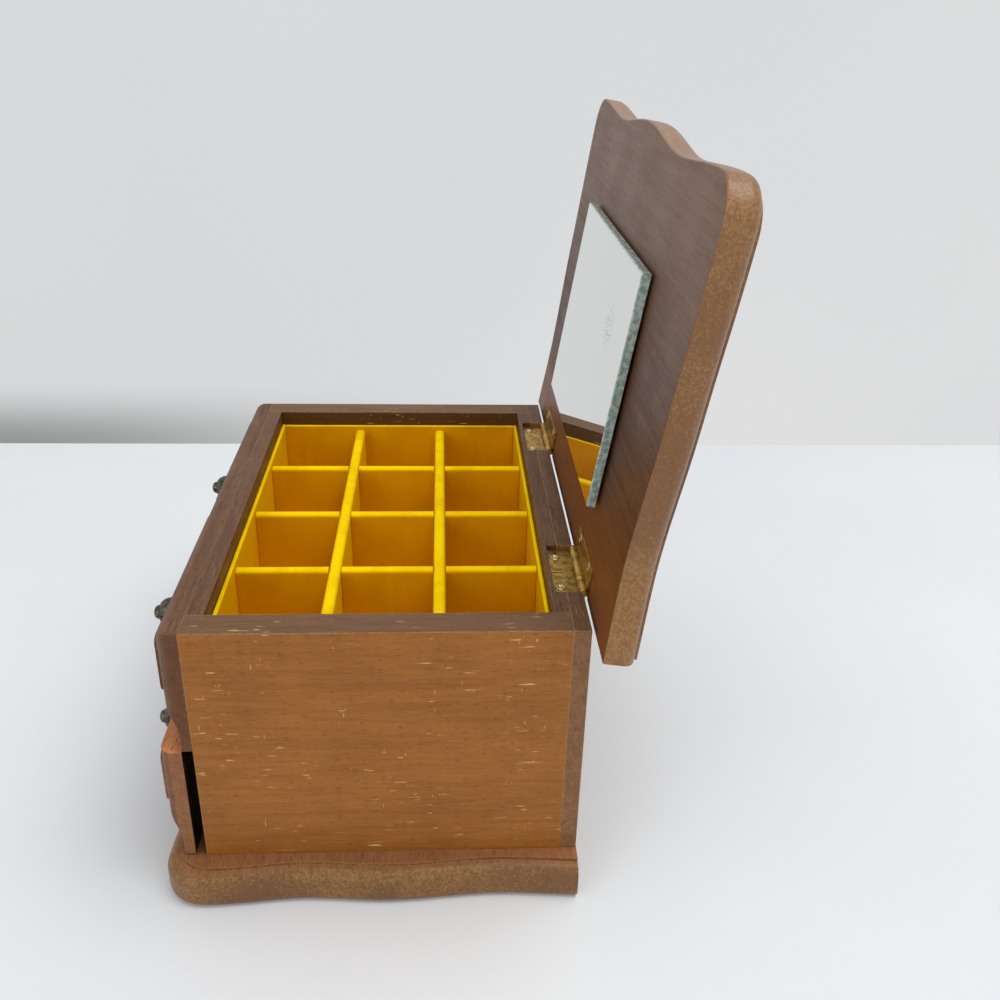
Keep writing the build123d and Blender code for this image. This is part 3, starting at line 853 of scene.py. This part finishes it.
def even_glow(finish, low, high, dark, shadow_height):
    """Paints the wall as it looks in even light, as a glow that goes from the low tone on one
    side to the high tone on the other, with a painted shadow low down on one side. Only the
    camera and reflections see the glow, so it lights nothing. From behind the wall is clear,
    so that the box can be looked at from every side."""
    rays = finish.node("LightPath", output="Is Camera Ray")
    rays = rays + finish.node("LightPath", output="Is Glossy Ray")
    rays = (rays + finish.node("LightPath", output="Is Transmission Ray")).at_most(1.0)
    axes = finish.node("SeparateXYZ", {}, {0: finish.place()})
    height = Value(finish, axes.socket.node.outputs["Z"])
    across = Value(finish, axes.socket.node.outputs["Y"])
    drift = finish.smooth(finish.noise(finish.place(), 2.2, 2.0, 0.5), 0.3, 0.7)
    # A painted light that goes across the wall from the low tone to the high tone.
    shown = finish.mix(drift * 0.5 + finish.smooth(across, -0.6, 0.6) * 0.5, low, high)
    # A painted shadow low down on one side of the wall.
    painted_wall_shadow = finish.smooth(height, shadow_height, 0.0) * finish.smooth(across, 0.1, -0.35)
    shown = finish.mix(painted_wall_shadow * 0.9, shown, dark)
    glow = finish.node("Emission", {}, {"Color": shown})
    seen = finish.node("MixShader", {}, {0: rays})
    mixer = seen.socket.node
    finish.tree.links.new(finish.shader.outputs[0], mixer.inputs[1])
    finish.tree.links.new(glow.socket, mixer.inputs[2])
    behind = finish.node("NewGeometry", output="Backfacing")
    clear = finish.node("BsdfTransparent")
    shown_side = finish.node("MixShader", {}, {0: behind}).socket.node
    finish.tree.links.new(mixer.outputs[0], shown_side.inputs[1])
    finish.tree.links.new(clear.socket, shown_side.inputs[2])
    output = finish.tree.nodes["Material Output"]
    finish.tree.links.new(shown_side.outputs[0], output.inputs["Surface"])


backdrop_line = -0.375
reach = 3.0
plain_sheet(
    "floor",
    [(backdrop_line, -reach, 0), (reach, -reach, 0), (reach, reach, 0), (backdrop_line, reach, 0)],
    colour=tone(229, 231, 232),
    shade=tone(225, 227, 229),
)
wall = plain_sheet(
    "wall",
    [
        (backdrop_line, reach, 0),
        (backdrop_line, reach, reach),
        (backdrop_line, -reach, reach),
        (backdrop_line, -reach, 0),
    ],
    colour=tone(226, 227, 229),
    shade=tone(222, 223, 225),
)
# The wall's glow is painted light, and its dark tone is a painted shadow low on one side.
even_glow(
    wall,
    low=tone(212, 214, 215),
    high=tone(224, 224, 225),
    dark=tone(140, 142, 142),
    shadow_height=0.06,
)
print("backdrop at x =", backdrop_line)


# %% Light
def soft_lamp(name, place, aim, size, watts):
    """A round lamp that faces a point."""
    data = bpy.data.lights.new(name, "AREA")
    data.shape = "DISK"
    data.size = size
    data.energy = watts
    lamp = bpy.data.objects.new(name, data)
    bpy.context.scene.collection.objects.link(lamp)
    lamp.location = place
    lamp.rotation_euler = (Vector(aim) - Vector(place)).to_track_quat("-Z", "Y").to_euler()
    return lamp


middle = (0.0, 0.0, 0.1)
soft_lamp("ceiling_lamp", place=(0.15, 0.5, 1.6), aim=middle, size=1.1, watts=11.0)
soft_lamp("window_lamp", place=(1.3, -1.2, 0.9), aim=middle, size=0.9, watts=4.0)

world = bpy.data.worlds.new("tent")
world.use_nodes = True
sky = world.node_tree.nodes["Background"]
sky.inputs["Color"].default_value = (0.97, 0.985, 1.0, 1.0)
sky.inputs["Strength"].default_value = 0.78
bpy.context.scene.world = world
bpy.context.scene.view_settings.view_transform = "Standard"
print("lamps:", [light.name for light in bpy.data.lights])

# %% [markdown]
# ## The camera
#
# The camera stands to the right of the box and looks down on it. It is given by its own
# three directions, which makes a matrix: the columns are right, up and backwards.

# %% Camera
focal_length = 36.14
sensor_width = 36.0
camera_place = (0.4573, 0.0305, 0.3572)
camera_data = bpy.data.cameras.new("camera")
camera_data.lens = focal_length
camera_data.sensor_width = sensor_width
camera_data.clip_start = 0.01
camera = bpy.data.objects.new("camera", camera_data)
bpy.context.scene.collection.objects.link(camera)
right = Vector((0.05296, 0.99828, 0.02504))
up = Vector((-0.44469, 0.00112, 0.89568))
turn = Matrix((right, up, right.cross(up))).transposed().to_4x4()
camera.matrix_world = Matrix.Translation(camera_place) @ turn
bpy.context.scene.camera = camera
print("the camera looks along", [round(value, 3) for value in -right.cross(up)])

# %% The end
print("the scene is set up")
